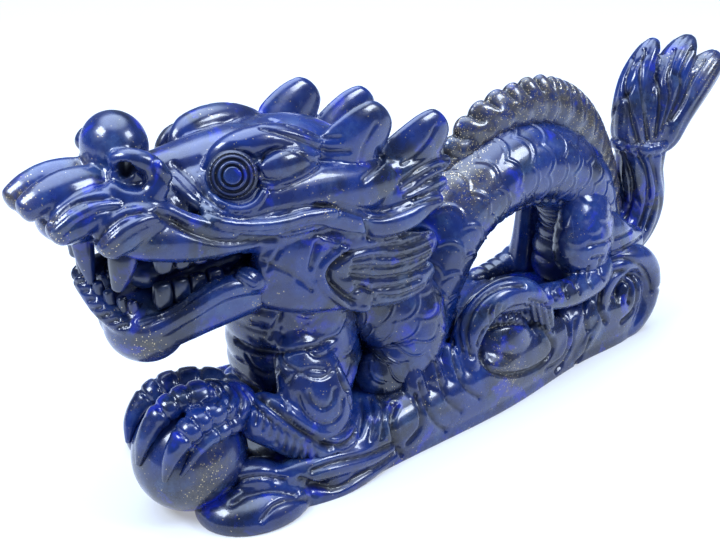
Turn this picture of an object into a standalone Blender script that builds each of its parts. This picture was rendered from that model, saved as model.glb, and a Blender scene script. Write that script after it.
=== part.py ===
# Carved dragon figurine of polished lapis lazuli, cut from one piece of stone.
# Units are metres, +Z is up, the dragon looks towards -X and its left side is -Y.
# The forms are lobes laid along smooth paths, fused into one stone by a voxel remesh.

import math

import bmesh
import bpy
from mathutils import Matrix, Vector

MM = 0.001

NODE_NAME = "carved_dragon"
COLLECTION_NAME = "Lapis dragon"
CUTTER_COLLECTION_NAME = "Cutters"

# Driving dimensions of the carving, in millimetres.
SHIFT_TO_CENTRE = (-9.31, 0.0, 0.0)
FUSE_VOXEL = 0.7
TRIANGLE_BUDGET = 9600
SMOOTH_STEPS = 3
SMOOTH_FACTOR = 0.5
FLOOR_CUT_SIZE = 400.0
FLOOR_CUT_DEPTH = 40.0

PEARL_CENTRE = (-50.0, -6.0, 9.6)
PEARL_RADIUS = 10.0

STONE_BLUE = (0.010, 0.022, 0.200, 1.0)
STONE_ROUGHNESS = 0.22

LOBE_RINGS = 22
LOBE_AROUND = 20
TANGENT_REACH = 0.02
POLE = 0.99999

FOLD_COUNT = 3
FOLD_FIRST_X = -6.0
FOLD_SPACING = 3.4
SCROLL_STEPS = 12
SCROLL_CAPS = (0.2, 0.2)
FIN_ROOT_SUNK = 0.4
FAR_FINGER_SPREADS = (7.4, 10.6, 13.8)


def clear_scene():
    for item in list(bpy.data.objects):
        bpy.data.objects.remove(item, do_unlink=True)


def catmull(values, t):
    """Value of a smooth run through the given numbers or vectors at t from 0 to 1."""
    spans = len(values) - 1
    place = min(max(t, 0.0), 1.0) * spans
    i = min(int(place), spans - 1)
    u = place - i
    a = values[max(i - 1, 0)]
    b = values[i]
    c = values[i + 1]
    d = values[min(i + 2, spans)]
    return 0.5 * (
        b * 2.0
        + (c - a) * u
        + (a * 2.0 - b * 5.0 + c * 4.0 - d) * u * u
        + (b * 3.0 - a - c * 3.0 + d) * u * u * u
    )


def section_radius(phi, squareness):
    """Radius of a unit superellipse: 2 is round, less is lens-like, more is boxy."""
    c = abs(math.cos(phi)) ** squareness
    s = abs(math.sin(phi)) ** squareness
    return (c + s) ** (-1.0 / squareness)


def end_rounding(distance, cap):
    if cap <= 0.0 or distance >= cap:
        return 1.0
    left = 1.0 - distance / cap
    return math.sqrt(max(0.0, 1.0 - left * left))


def section_at(path, wide, deep, side, caps, length, t):
    """Centre and the two half-width vectors of the lobe's section at t."""
    centre = catmull(path, t)
    ahead = catmull(path, min(t + TANGENT_REACH, 1.0))
    behind = catmull(path, max(t - TANGENT_REACH, 0.0))
    tangent = ahead - behind
    tangent.normalize()
    across = (side - tangent * side.dot(tangent)).normalized()
    lift = tangent.cross(across)
    cap = end_rounding(t * length, caps[0] * wide[0])
    cap = cap * end_rounding((1.0 - t) * length, caps[1] * wide[-1])
    half_wide = max(catmull(wide, t), 0.0) * cap
    half_deep = max(catmull(deep, t), 0.0) * cap
    return centre, across * half_wide, lift * half_deep


def new_ball():
    """A round ball of unit radius, the start of every form."""
    ball = bmesh.new()
    bmesh.ops.create_uvsphere(
        ball, u_segments=LOBE_AROUND, v_segments=LOBE_RINGS, radius=1.0
    )
    return ball


def join_to(stone, form):
    """Adds a finished form to the stone."""
    mesh = bpy.data.meshes.new("form")
    form.to_mesh(mesh)
    form.free()
    stone.from_mesh(mesh)
    bpy.data.meshes.remove(mesh)


def add_lobe(stone, path, wide, deep, side=(0, 1, 0), squareness=2.0, caps=(1.0, 1.0)):
    """A sphere drawn out along a path, with its half width and half depth set on the way."""
    path = [Vector(point) for point in path]
    length = sum((b - a).length for a, b in zip(path, path[1:]))
    lobe = new_ball()
    sections = {}
    for vert in lobe.verts:
        x, y, z = vert.co
        ring = round(z, 4)
        if ring not in sections:
            t = (1.0 - z) * 0.5
            sections[ring] = section_at(path, wide, deep, Vector(side), caps, length, t)
        centre, across, lift = sections[ring]
        phi = math.atan2(y, x)
        radius = section_radius(phi, squareness) if abs(z) < POLE else 0.0
        offset = across * math.cos(phi) + lift * math.sin(phi)
        vert.co = (centre + offset * radius) * MM
    join_to(stone, lobe)


def add_ball(stone, centre, radii):
    """An ellipsoid with its three half sizes along X, Y and Z."""
    ball = new_ball()
    place = Matrix.Translation(Vector(centre) * MM)
    size = Matrix.Diagonal((*(Vector(radii) * MM), 1.0))
    bmesh.ops.transform(ball, matrix=place @ size, verts=ball.verts)
    join_to(stone, ball)


def mirrored(points):
    return [(x, -y, z) for x, y, z in points]


def add_pair(stone, path, wide, deep, side=(0, 1, 0), squareness=2.0, caps=(1.0, 1.0)):
    """The same lobe on the left side and, mirrored, on the right side."""
    add_lobe(stone, path, wide, deep, side, squareness, caps)
    other = (side[0], -side[1], side[2])
    add_lobe(stone, mirrored(path), wide, deep, other, squareness, caps)


def add_ball_pair(stone, centre, radii):
    add_ball(stone, centre, radii)
    add_ball(stone, (centre[0], -centre[1], centre[2]), radii)


def carve_skull(stone):
    add_ball(stone, (-27, 0, 53), (16, 12, 11))
    add_lobe(
        stone,
        [(-20, 0, 55), (-36, 0, 56), (-48, 0, 56.5), (-60, 0, 56.5)],
        [11.5, 11.2, 10.2, 7.5],
        [9.0, 7.5, 6.0, 4.5],
        squareness=2.3,
    )
    # Cheeks
    add_pair(
        stone,
        [(-47, -9, 52.5), (-38, -10.5, 50), (-28, -11.5, 49.5), (-18, -11, 51)],
        [3.5, 3.6, 3.6, 3.0],
        [3.5, 5.5, 6.5, 5.0],
    )
    # Eyeballs, brows and the almond lobes behind the eyes
    add_ball_pair(stone, (-38.7, -7.8, 58.2), (4.0, 3.9, 4.0))
    add_pair(
        stone,
        [(-41.2, -6.6, 60.0), (-38.5, -7.7, 62.2), (-35.0, -8.0, 63.0), (-30.4, -8.3, 62.7),
         (-25.0, -9.5, 60.6)],
        [1.6, 2.4, 2.6, 2.3, 1.4],
        [1.6, 2.4, 2.6, 2.3, 1.4],
    )
    add_pair(
        stone,
        [(-38, -11.3, 59), (-34, -12.2, 58.7), (-30, -12.2, 59.3), (-25.5, -11.6, 60)],
        [0.8, 2.4, 2.2, 0.6],
        [0.8, 1.6, 1.5, 0.6],
        side=(0, 0, 1),
    )


def carve_nose(stone):
    add_ball(stone, (-55.5, 0, 64.0), (5.1, 5.6, 5.4))
    add_ball_pair(stone, (-55.0, -6.6, 60.4), (4.3, 3.4, 3.9))


def carve_upper_lip(stone):
    # Three petals on each side, fanned out from the muzzle
    add_pair(
        stone,
        [(-57, -2, 58.8), (-63, -2.5, 59.6), (-68, -2.8, 59.0), (-72, -2.8, 57.6)],
        [2.6, 3.1, 3.1, 2.2],
        [3.0, 3.1, 2.9, 2.0],
    )
    add_pair(
        stone,
        [(-56, -6, 57.0), (-61.5, -6.6, 57.2), (-66, -7, 56.2), (-69.2, -7.4, 54.4)],
        [2.8, 3.3, 3.2, 2.1],
        [3.0, 3.0, 2.8, 1.8],
        side=(0, 0.9, 0.4),
    )
    add_pair(
        stone,
        [(-53, -8.5, 55.2), (-57.5, -9.8, 55.2), (-60.8, -10.3, 53.8), (-63.4, -10.3, 51.6)],
        [3.0, 3.0, 2.8, 1.7],
        [2.8, 2.4, 2.1, 1.3],
        side=(0, 0.7, 0.7),
    )
    # Lip band that sweeps back to the corner of the mouth
    add_pair(
        stone,
        [(-61, -9, 52), (-56, -10.6, 51), (-50, -11.5, 50.2), (-44, -12, 48), (-39.5, -12.3, 43)],
        [2.2, 2.4, 2.5, 2.5, 2.3],
        [2.2, 2.4, 2.5, 2.5, 2.3],
    )


def carve_jaw(stone):
    add_lobe(
        stone,
        [(-29, 0, 41), (-40, 0, 38), (-50, 0, 35.2), (-60.5, 0, 36.5)],
        [9.5, 10.0, 9.0, 5.5],
        [5.0, 5.0, 5.6, 4.6],
        squareness=2.3,
    )
    # Raised rim of the lower lip, low at the near corner of the chin
    add_lobe(
        stone,
        [(-35, -11, 40), (-44, -11.3, 41), (-51, -10.2, 38.4), (-57, -7.8, 36.0),
         (-60.6, -2.8, 38.6), (-62.3, 3, 43.2)],
        [2.2, 1.9, 1.8, 1.9, 1.9, 1.6],
        [2.2, 1.9, 1.8, 1.9, 1.9, 1.6],
    )
    add_lobe(
        stone,
        [(-62.3, 3, 43.2), (-58.4, 7.4, 42.0), (-50, 10.4, 41), (-36, 11, 40.5)],
        [1.5, 1.7, 1.8, 2.2],
        [1.5, 1.9, 2.2, 2.6],
    )
    add_lobe(
        stone,
        [(-36, 9, 38), (-48, 8.5, 37.5), (-58, 5, 38)],
        [2.6, 2.6, 2.4],
        [3.6, 3.8, 3.6],
    )
    # Deep chin
    add_ball(stone, (-54.4, -3, 33.8), (5.6, 6.0, 5.2))


def carve_teeth(stone):
    add_pair(
        stone,
        [(-59.0, -8.0, 50.5), (-59.8, -8.2, 47.5), (-60.8, -8.0, 44.4)],
        [2.0, 1.5, 0.5],
        [2.0, 1.5, 0.5],
    )
    add_lobe(
        stone,
        [(-62.5, -0.5, 54), (-62.3, -0.5, 48), (-61.6, -0.3, 42.8)],
        [2.2, 1.7, 0.6],
        [2.2, 1.6, 0.6],
    )
    # Tongue and back teeth as one ridge inside the mouth
    add_lobe(
        stone,
        [(-32, 0, 45), (-44, 0, 43.5), (-54, 0, 42)],
        [6.0, 5.5, 3.5],
        [4.5, 3.4, 2.0],
    )


def carve_whiskers(stone):
    add_pair(
        stone,
        [(-53.5, -9.6, 56.6), (-49.5, -11.6, 53.6), (-44.2, -12.8, 52.4), (-34, -14, 51.4),
         (-26.7, -14.6, 51.0), (-19.6, -14.8, 47.4), (-11.6, -14.8, 46.2), (-1.8, -14.0, 47.6)],
        [1.2, 1.4, 1.4, 1.5, 1.6, 1.6, 1.6, 1.0],
        [1.2, 1.3, 1.3, 1.4, 1.5, 1.5, 1.5, 0.9],
    )


def carve_horns(stone):
    add_pair(
        stone,
        [(-22.5, -8.4, 54), (-18.2, -9.8, 58.8), (-13.8, -10.5, 63.0), (-10.7, -10.5, 66.0)],
        [5.8, 5.6, 4.2, 1.4],
        [2.6, 2.4, 1.9, 0.8],
        side=(1, 0, -0.8),
        squareness=1.6,
    )
    add_pair(
        stone,
        [(-12.0, -8.8, 50.4), (-6.6, -10.2, 55.2), (-1.6, -10.7, 59.4), (2.4, -10.6, 62.4)],
        [6.2, 5.8, 4.4, 1.5],
        [2.8, 2.4, 1.9, 0.8],
        side=(1, 0, -1),
        squareness=1.6,
    )


def carve_mane(stone):
    # Hair drawn back behind the horns
    add_lobe(
        stone,
        [(-26, 0, 54), (-15, 0, 54.5), (-6, 0, 54), (-1, 0, 53)],
        [10, 9.5, 8.5, 6.0],
        [6.0, 5.0, 4.0, 2.5],
    )
    add_pair(
        stone,
        [(-24, -10.5, 53.5), (-15, -11.6, 53.6), (-6, -12, 53.0), (2.4, -11.4, 53.6)],
        [1.6, 1.8, 1.7, 0.8],
        [3.4, 3.0, 2.4, 0.8],
    )
    add_pair(
        stone,
        [(-22, -11.5, 50), (-14, -12.8, 50), (-6.5, -12.8, 49.6), (1.2, -12.2, 49.6)],
        [1.6, 1.8, 1.6, 0.8],
        [3.0, 2.4, 1.8, 0.8],
    )
    # Beard of the cheek, four locks fanned down and back from the jaw
    add_pair(
        stone,
        [(-32, -11.5, 46), (-22, -13, 44.5), (-13, -13.5, 43.5), (-4.5, -13, 43)],
        [2.4, 2.6, 2.2, 0.8],
        [4.0, 4.0, 2.6, 0.9],
    )
    add_pair(
        stone,
        [(-32, -11.5, 43), (-23, -13, 41), (-14, -13.5, 38.5), (-7.5, -13, 37)],
        [2.4, 2.6, 2.2, 0.8],
        [4.0, 3.8, 2.6, 0.9],
    )
    add_pair(
        stone,
        [(-33, -11.3, 41), (-26, -12.8, 38.5), (-20, -13.4, 35), (-16.5, -13.2, 32)],
        [2.4, 2.6, 2.2, 0.8],
        [3.8, 3.6, 2.6, 0.9],
    )


def carve_body(stone):
    # Neck, chest, the run along the base, the arch and the hips in one coil
    add_lobe(
        stone,
        [(-14, 0, 50), (-21.5, 0, 41), (-24.5, 0, 29), (-23, 0, 15), (-9, 0, 10), (2, 0, 15),
         (6.4, 0, 26), (13.8, 0, 37.5), (25, 0, 43.8), (37.5, 0, 43.4), (47.8, 0, 38),
         (52.6, 0, 28.5), (52, 0, 17), (58, 0, 10)],
        [9, 11, 12, 12.6, 12, 11.5, 10.8, 10.4, 9.8, 9.4, 9.0, 8.8, 9, 6],
        [10, 11, 11.8, 12, 9, 9, 9.2, 10.0, 9.6, 9.2, 8.8, 8.6, 8.6, 6],
    )


FIN_RIM = [
    (3.5, 34.0), (6.4, 40.5), (9.6, 46.5), (12.8, 52.2), (17.0, 57.2), (22.6, 60.2),
    (28.8, 61.4), (35.6, 62.2), (41.0, 61.0), (46.4, 58.8), (51.6, 55.0), (56.2, 49.8),
    (60.4, 43.6), (63.2, 38.0), (65.9, 31.4), (67.8, 25.0),
]
FIN_ROOT = [
    (4.0, 30.0), (7.0, 36.0), (11.0, 41.0), (15.6, 45.6), (20.0, 49.0), (25.4, 51.4),
    (31.5, 52.6), (36.0, 52.6), (40.0, 52.0), (44.5, 50.0), (49.0, 46.6), (53.0, 42.6),
    (56.0, 37.6), (58.5, 32.6), (60.0, 28.0), (60.7, 22.0),
]


def carve_swirl(stone):
    # Curled fur that fills the bend between the neck and the foot of the arch
    add_lobe(
        stone,
        [(-14, 0, 16), (-9, 0, 21), (-4, 0, 24), (2, 0, 24)],
        [10.5, 10.5, 10, 9],
        [9, 9, 8, 7],
    )
    for side in (-1, 1):
        add_ball(stone, (-6.5, side * 9.8, 21.5), (6.6, 3.8, 7.4))
        add_ball(stone, (-12.5, side * 10.4, 17), (5.0, 3.6, 7.0))
        add_ball(stone, (-7.5, side * 12.0, 23), (3.6, 2.6, 4.0))


def carve_fin(stone):
    # One rounded scallop for each rim point, overlapping its neighbours
    for (rim_x, rim_z), (root_x, root_z) in zip(FIN_RIM, FIN_ROOT):
        mid = ((rim_x + root_x) / 2, 0, (rim_z + root_z) / 2)
        sunk_x = root_x - (rim_x - root_x) * FIN_ROOT_SUNK
        sunk_z = root_z - (rim_z - root_z) * FIN_ROOT_SUNK
        add_lobe(
            stone,
            [(sunk_x, 0, sunk_z), mid, (rim_x, 0, rim_z)],
            [3.4, 3.6, 2.4],
            [3.2, 2.6, 1.3],
            side=(-(rim_z - root_z), 0, rim_x - root_x),
            caps=(1.0, 0.9),
        )


def carve_forelegs(stone):
    # Left shoulder, elbow and forearm that reaches forward to the pearl
    add_lobe(
        stone,
        [(-30.5, -10.5, 27), (-29.6, -12.6, 21), (-28.2, -14.0, 15), (-26.5, -14.6, 10)],
        [3.4, 4.4, 4.8, 4.0],
        [4.6, 6.0, 6.4, 4.6],
    )
    add_lobe(
        stone,
        [(-22, -14.8, 6.5), (-29, -15.4, 8.6), (-36.5, -13.6, 14.0), (-42, -11.0, 17.5)],
        [4.0, 4.6, 4.6, 4.6],
        [4.4, 4.8, 4.6, 4.2],
    )
    # Right foreleg, tucked against the chest with its paw on the cloud
    add_lobe(
        stone,
        [(-18, 9.5, 27), (-17.5, 12.6, 20.5), (-16, 14.0, 13), (-14, 14.4, 7)],
        [2.6, 3.2, 3.6, 3.2],
        [4.6, 6.0, 6.0, 4.6],
    )
    add_lobe(
        stone,
        [(-14, 14.4, 6.0), (-21, 15.0, 6.8), (-28, 14.0, 6.4), (-34, 12.0, 5.4)],
        [4.4, 4.4, 4.2, 3.8],
        [4.2, 4.2, 3.8, 3.0],
    )
    for spread in FAR_FINGER_SPREADS:
        add_lobe(
            stone,
            [(-32, spread + 0.5, 5.6), (-37, spread, 6.6), (-40.4, spread - 0.4, 4.8),
             (-41.4, spread - 0.6, 2.4)],
            [2.0, 1.9, 1.7, 0.8],
            [2.0, 1.9, 1.7, 0.8],
        )


def on_pearl(turn, rise, lift):
    """Point on the pearl: turn from the front towards the near side, rise above its middle."""
    a = math.radians(turn)
    e = math.radians(rise)
    reach = PEARL_RADIUS + lift
    return (
        PEARL_CENTRE[0] - reach * math.cos(e) * math.cos(a),
        PEARL_CENTRE[1] - reach * math.cos(e) * math.sin(a),
        PEARL_CENTRE[2] + reach * math.sin(e),
    )


FINGERS = [
    [(150, 58, 1.6), (60, 82, 2.4), (-20, 64, 2.2), (-30, 38, 1.2), (-28, 10, 0.4)],
    [(150, 58, 1.6), (80, 70, 2.0), (28, 54, 1.8), (14, 30, 1.0), (10, 2, 0.4)],
    [(140, 56, 1.2), (92, 54, 1.4), (60, 40, 1.2), (46, 18, 0.8), (42, -4, 0.4)],
]


def carve_pearl(stone):
    add_ball(stone, PEARL_CENTRE, (PEARL_RADIUS, PEARL_RADIUS, PEARL_RADIUS))
    add_ball(stone, (-44.0, -7.6, 19.0), (5.6, 6.4, 3.8))
    for finger in FINGERS:
        add_lobe(
            stone,
            [on_pearl(*place) for place in finger],
            [2.2, 2.2, 2.0, 1.7, 0.7],
            [2.2, 2.2, 2.0, 1.7, 0.7],
        )


def add_ring(stone, centre, radius, thickness):
    """A scroll ring facing the side of the base, laid as a lobe round a full turn."""
    path = []
    for k in range(SCROLL_STEPS + 1):
        a = math.tau * k / SCROLL_STEPS
        path.append((centre[0] + radius * math.cos(a), centre[1], centre[2] + radius * math.sin(a)))
    section = [thickness] * (SCROLL_STEPS + 1)
    add_lobe(stone, path, section, section, caps=SCROLL_CAPS)


def carve_clouds(stone):
    # Core of the cloud base, boat shaped in plan
    add_lobe(
        stone,
        [(-44, 0, 3), (-28, 0, 4), (-6, 0, 5), (16, 0, 6), (40, 0, 6), (58, 0, 5), (70, 0, 5)],
        [16.5, 20, 19.4, 18.2, 14.4, 13.2, 8.8],
        [4.5, 6, 8, 9, 8.5, 8, 7],
        squareness=3.4,
    )
    for side in (-1, 1):
        # Front lobes
        add_ball(stone, (-42, side * 13.6, 1.2), (11, 9.0, 5.0))
        add_ball(stone, (-25, side * 15.2, 1.5), (12, 6.0, 4.6))
        add_ball(stone, (-10.5, side * 14.4, 5.8), (4.4, 3.4, 5.4))
        # Upright folds behind the elbow
        for k in range(FOLD_COUNT):
            x = FOLD_FIRST_X + FOLD_SPACING * k
            add_lobe(
                stone,
                [(x + 2, side * 14, 1), (x, side * 14.4, 8), (x - 1.5, side * 13.4, 16)],
                [2.4, 2.2, 1.6],
                [2.2, 2.0, 1.6],
            )
        # Spiral at the tail end
        add_ring(stone, (58.8, side * 9.8, 10), 9.2, 3.2)
        add_ball(stone, (59.8, side * 9.8, 10), (5.0, 3.4, 4.8))
        add_ball(stone, (58.8, side * 7.0, 10), (9.4, 4.0, 9.4))
        # Low lobe between the two scrolls
        add_ball(stone, (39, side * 10, 6), (9, 4.4, 8.4))
    # Big scroll with its ball, lower on the right side
    add_ring(stone, (17.5, -13.2, 12.4), 11.0, 3.1)
    add_ball(stone, (17.5, -13.2, 11), (7.8, 3.8, 7.2))
    add_ball(stone, (17.5, -10.2, 12), (11, 4.0, 11))
    add_ring(stone, (17.5, 13.2, 8.6), 8.0, 2.8)
    add_ball(stone, (17.5, 12.6, 8.6), (7.8, 4.6, 7.2))


def carve_hind_legs(stone):
    add_ball(stone, (42.5, -7.2, 24), (6.2, 4.6, 6.6))
    add_lobe(
        stone,
        [(48, 6, 40), (46.5, 8.2, 31), (46.5, 8.8, 22), (46, 9, 12)],
        [3.0, 3.0, 3.4, 4.0],
        [3.6, 3.6, 4.0, 5.0],
    )
    add_lobe(
        stone,
        [(54, -8, 22), (51, -10.6, 17.5), (43, -12.6, 16.6), (34, -13.4, 18), (25, -13.2, 20)],
        [4.4, 4.4, 3.8, 3.6, 3.0],
        [4.6, 4.4, 3.8, 3.4, 2.8],
    )
    add_lobe(
        stone,
        [(54, 8, 22), (50, 10.0, 18), (44, 11, 14.5), (37, 11, 13), (30, 10.6, 14)],
        [4.4, 4.4, 3.8, 3.6, 2.6],
        [4.6, 4.4, 3.8, 3.4, 2.4],
    )
    # Left hind paw over the scroll
    add_lobe(
        stone,
        [(28, -12, 19.0), (20, -11.8, 20.8), (13, -11.6, 21.4), (9, -11.4, 20.0)],
        [3.0, 3.4, 3.2, 1.8],
        [2.4, 2.6, 2.4, 1.4],
    )


def carve_tail(stone):
    add_lobe(
        stone,
        [(52, 0, 21), (61, -0.4, 19.6), (69.0, -1, 21.5), (72.4, -1.4, 28), (70.8, -1.4, 36.5),
         (71.4, -1.6, 45)],
        [7.5, 6.8, 6.2, 5.8, 5.6, 5.8],
        [7.8, 6.8, 6.2, 6.0, 5.8, 6.2],
    )
    # Locks of the tail flame
    add_lobe(
        stone,
        [(70.4, -1, 38), (68.0, 0, 46), (69.4, 1, 55), (73.4, 1.5, 61.4), (76.2, 2, 64.2)],
        [4.8, 4.6, 4.1, 3.0, 1.2],
        [4.3, 4.2, 3.8, 2.8, 1.2],
    )
    add_lobe(
        stone,
        [(72, -2, 40), (73, -2, 49), (77.4, -2, 57), (82, -1.5, 62), (85, -1, 64.2)],
        [5.0, 5.0, 4.5, 3.4, 1.4],
        [4.6, 4.8, 4.2, 3.1, 1.2],
    )
    add_lobe(
        stone,
        [(73.4, -3, 40), (77, -4, 48), (83, -4.6, 54.6), (87.6, -5, 58.4), (90.4, -5, 60)],
        [4.6, 4.8, 4.4, 3.4, 1.6],
        [4.2, 4.4, 4.2, 3.4, 1.8],
    )


def fuse_stone(rough):
    """Voxel fusion, light polishing, thinning and the flat sawn underside."""
    scene_objects = bpy.data.collections[COLLECTION_NAME].objects
    scene_objects.link(rough)
    fuse = rough.modifiers.new("Fuse", "REMESH")
    fuse.mode = "VOXEL"
    fuse.voxel_size = FUSE_VOXEL * MM
    polish = rough.modifiers.new("Polish", "SMOOTH")
    polish.factor = SMOOTH_FACTOR
    polish.iterations = SMOOTH_STEPS
    bpy.context.view_layer.update()
    graph = bpy.context.evaluated_depsgraph_get()
    fused = rough.evaluated_get(graph).to_mesh()
    triangles = sum(len(face.vertices) - 2 for face in fused.polygons)
    thin = rough.modifiers.new("Thin", "DECIMATE")
    thin.ratio = TRIANGLE_BUDGET / triangles
    thin.use_collapse_triangulate = True


def make_floor_cutter():
    bpy.ops.mesh.primitive_cube_add(
        size=1.0, location=(0.0, 0.0, -FLOOR_CUT_DEPTH * MM / 2.0)
    )
    cutter = bpy.context.object
    cutter.name = "floor_cutter"
    cutter.scale = (FLOOR_CUT_SIZE * MM, FLOOR_CUT_SIZE * MM, FLOOR_CUT_DEPTH * MM)
    cutter.hide_render = True
    cutter.display_type = "WIRE"
    for home in list(cutter.users_collection):
        home.objects.unlink(cutter)
    bpy.data.collections[CUTTER_COLLECTION_NAME].objects.link(cutter)
    return cutter


def make_material():
    material = bpy.data.materials.new("polished_lapis")
    material.use_nodes = True
    shader = material.node_tree.nodes["Principled BSDF"]
    shader.inputs["Base Color"].default_value = STONE_BLUE
    shader.inputs["Roughness"].default_value = STONE_ROUGHNESS
    shader.inputs["Metallic"].default_value = 0.0
    return material


def main():
    clear_scene()
    for name in (COLLECTION_NAME, CUTTER_COLLECTION_NAME):
        bpy.context.scene.collection.children.link(bpy.data.collections.new(name))
    stone = bmesh.new()
    for carve in (
        carve_skull, carve_nose, carve_upper_lip, carve_jaw, carve_teeth, carve_whiskers,
        carve_horns, carve_mane, carve_body, carve_swirl, carve_fin, carve_forelegs, carve_pearl,
        carve_clouds, carve_hind_legs, carve_tail,
    ):
        carve(stone)
    bmesh.ops.translate(stone, vec=Vector(SHIFT_TO_CENTRE) * MM, verts=stone.verts)
    mesh = bpy.data.meshes.new(NODE_NAME)
    stone.to_mesh(mesh)
    stone.free()
    dragon = bpy.data.objects.new(NODE_NAME, mesh)
    fuse_stone(dragon)
    saw = dragon.modifiers.new("Sawn underside", "BOOLEAN")
    saw.operation = "DIFFERENCE"
    saw.solver = "EXACT"
    saw.object = make_floor_cutter()
    mesh.materials.append(make_material())
    mesh.shade_smooth()


main()
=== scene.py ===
import math

import bpy
import numpy as np
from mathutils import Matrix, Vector


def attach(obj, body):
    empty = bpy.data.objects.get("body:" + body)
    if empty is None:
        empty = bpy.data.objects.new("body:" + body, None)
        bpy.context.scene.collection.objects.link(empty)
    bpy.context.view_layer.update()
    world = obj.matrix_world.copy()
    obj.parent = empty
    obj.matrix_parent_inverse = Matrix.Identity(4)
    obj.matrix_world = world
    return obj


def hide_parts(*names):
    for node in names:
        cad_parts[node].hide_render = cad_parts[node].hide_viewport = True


# A carved dragon of polished lapis lazuli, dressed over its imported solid.
# Lengths here are in millimetres in the carver's frame: +Z up, the dragon looks along -X,
# its left side is -Y. The shift below puts the middle of the carving at the origin.

mm = 0.001
shiftToCentre = np.array((-9.31, 0.0, 0.0))

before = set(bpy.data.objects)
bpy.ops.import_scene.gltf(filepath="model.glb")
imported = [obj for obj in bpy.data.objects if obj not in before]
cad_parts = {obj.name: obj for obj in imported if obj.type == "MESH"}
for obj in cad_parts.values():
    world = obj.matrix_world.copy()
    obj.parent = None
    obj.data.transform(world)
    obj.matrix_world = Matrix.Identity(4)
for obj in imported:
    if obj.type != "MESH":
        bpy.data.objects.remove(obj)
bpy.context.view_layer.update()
bpy.ops.object.select_all(action="DESELECT")
print("frame loaded:", sorted(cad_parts))


# Helpers for shapes

def smoothRun(rows, t):  # Catmull-Rom through evenly spaced rows, t from 0 to 1
    rows = np.asarray(rows, float)
    spans = len(rows) - 1
    place = np.clip(t, 0.0, 1.0) * spans
    i = np.minimum(place.astype(int), spans - 1)
    u = place - i
    if rows.ndim > 1:
        u = u[:, None]
    a, b = rows[np.maximum(i - 1, 0)], rows[i]
    c, d = rows[i + 1], rows[np.minimum(i + 2, spans)]
    return 0.5 * (2 * b + (c - a) * u + (2 * a - 5 * b + 4 * c - d) * u ** 2
                  + (3 * b - a - 3 * c + d) * u ** 3)


def unit(rows):
    return rows / np.maximum(np.linalg.norm(rows, axis=-1, keepdims=True), 1e-9)


def readPoints(obj):  # vertex places in the carver's millimetres
    flat = np.empty(len(obj.data.vertices) * 3)
    obj.data.vertices.foreach_get("co", flat)
    return flat.reshape(-1, 3) / mm - shiftToCentre


def writePoints(obj, points):
    flat = ((points + shiftToCentre) * mm).ravel()
    obj.data.vertices.foreach_set("co", flat)
    obj.data.update()


def readNormals(obj):
    flat = np.empty(len(obj.data.vertices) * 3)
    obj.data.vertices.foreach_get("normal", flat)
    return flat.reshape(-1, 3)


def paint(obj, name, values):  # a number for each vertex, read by the material
    if name in obj.data.attributes:
        layer = obj.data.attributes[name]
    else:
        layer = obj.data.attributes.new(name, "FLOAT", "POINT")
    layer.data.foreach_set("value", np.clip(values, 0.0, 1.0).astype(np.float32))


def readPaint(obj, name):
    values = np.zeros(len(obj.data.vertices), np.float32)
    if name in obj.data.attributes:
        obj.data.attributes[name].data.foreach_get("value", values)
    return values


def chooseOnly(objs):
    bpy.ops.object.select_all(action="DESELECT")
    for obj in objs:
        obj.select_set(True)
    bpy.context.view_layer.objects.active = objs[0]


ballStock = {}


def newBall(rings, around):  # a ball of radius 1 and its points, made once for each fineness
    if (rings, around) not in ballStock:
        bpy.ops.mesh.primitive_uv_sphere_add(segments=around, ring_count=rings, radius=1.0)
        stock = bpy.context.object
        ballStock[(rings, around)] = stock.data
        bpy.data.objects.remove(stock)
    ball = bpy.data.objects.new("form", ballStock[(rings, around)].copy())
    bpy.context.scene.collection.objects.link(ball)
    flat = np.empty(len(ball.data.vertices) * 3)
    ball.data.vertices.foreach_get("co", flat)
    return ball, flat.reshape(-1, 3)


def endRounding(gap, cap):
    if cap <= 0.0:
        return np.ones_like(gap)
    left = np.clip(1.0 - gap / cap, 0.0, 1.0)
    return np.sqrt(1.0 - left ** 2)


# A ball drawn out along a path, with half widths and half depths on the way, deep as wide if not given.
# square: 2 is round, less is lens-like, more is boxy. relief: (t, phi, s) -> lift in mm, its cuts painted
# darker as shade.
# net: how many rings and points round a ring, and even sets the rings at even steps.
def lobe(path, wide, deep=None, side=(0, 1, 0), square=2, caps=(1, 1), relief=None,
         net=(36, 28), even=False):
    ball, points = newBall(*net)
    x, y, z = points.T
    t = np.arccos(np.clip(z, -1, 1)) / math.pi if even else (1.0 - z) * 0.5
    phi = np.arctan2(y, x)
    path = np.asarray(path, float)
    length = np.linalg.norm(np.diff(path, axis=0), axis=1).sum()
    centre = smoothRun(path, t)
    ahead = unit(smoothRun(path, np.minimum(t + 0.02, 1)) - smoothRun(path, np.maximum(t - 0.02, 0)))
    side = np.asarray(side, float)
    deep = wide if deep is None else deep
    across = unit(side - ahead * (ahead @ side)[:, None])
    lift = np.cross(ahead, across)
    cap = endRounding(t * length, caps[0] * wide[0])
    cap = cap * endRounding((1 - t) * length, caps[1] * wide[-1])
    radius = (np.abs(np.cos(phi)) ** square + np.abs(np.sin(phi)) ** square) ** (-1.0 / square)
    radius[np.abs(z) > 0.99999] = 0.0
    out = across * (np.cos(phi) * np.maximum(smoothRun(wide, t), 0))[:, None]
    out = out + lift * (np.sin(phi) * np.maximum(smoothRun(deep, t), 0))[:, None]
    points = centre + out * (radius * cap)[:, None]
    if relief is not None:
        rise = relief(t, phi, t * length) * cap * (radius > 0)
        points = points + unit(out) * rise[:, None]
        # painted shade: relief cuts darkened by their depth
        paint(ball, "grooveShade", (-rise - 0.05) / 0.6)
    writePoints(ball, points)
    return ball


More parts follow.
